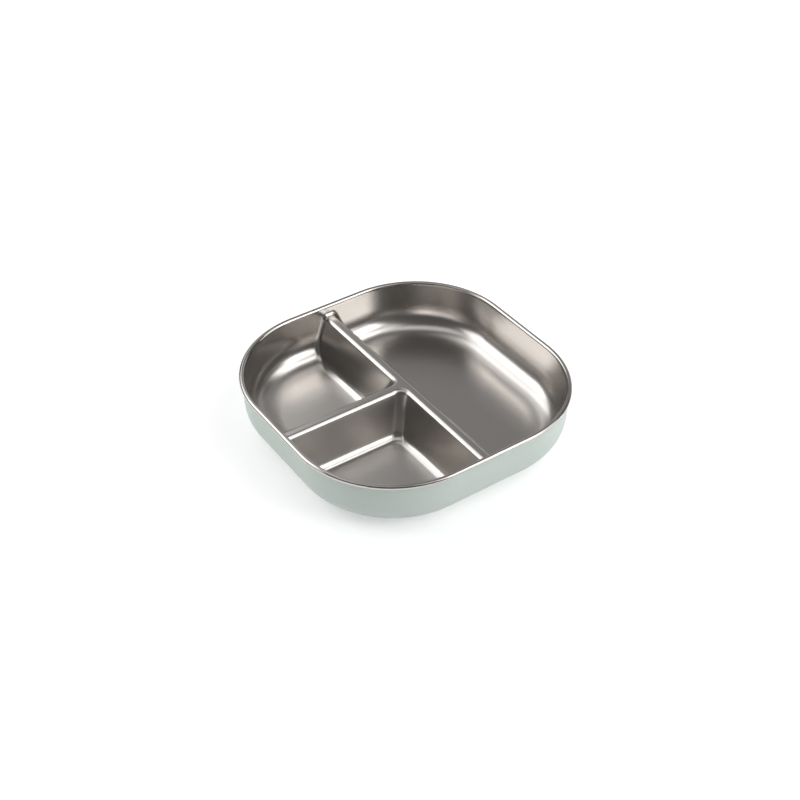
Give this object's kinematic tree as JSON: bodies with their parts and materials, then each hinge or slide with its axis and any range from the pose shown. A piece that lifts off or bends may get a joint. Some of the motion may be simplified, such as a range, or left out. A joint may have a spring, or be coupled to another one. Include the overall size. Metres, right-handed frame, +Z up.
{
  "type": "divided compartment plate",
  "caption": "Square plate with rounded corners: a pressed steel tray divided into compartments, sitting in a pale green moulded shell on a soft grip ring.",
  "frame": {"origin": "middle of the footprint, on the surface that the plate stands on", "axes": "+Z up; the main divider runs along Y; the large well is on the +X side and the two small wells are on the -X side"},
  "size_m": [0.1784, 0.1784, 0.0348],
  "materials": {
    "satin_stainless_steel": "satin, blasted wells with a polished rim",
    "sage_green_shell": "fine matt moulded",
    "soft_grip_ring": "matt silicone"
  },
  "bodies": {
    "shell": {"outer_shell": "sage_green_shell", "grip_ring": "soft_grip_ring"},
    "tray": {"steel_tray": "satin_stainless_steel"}
  },
  "joints": [
    {"name": "tray_lift", "type": "slide", "parent": "shell", "child": "tray", "axis": [0, 0, 1], "range_m": [0, 0.06]}
  ]
}
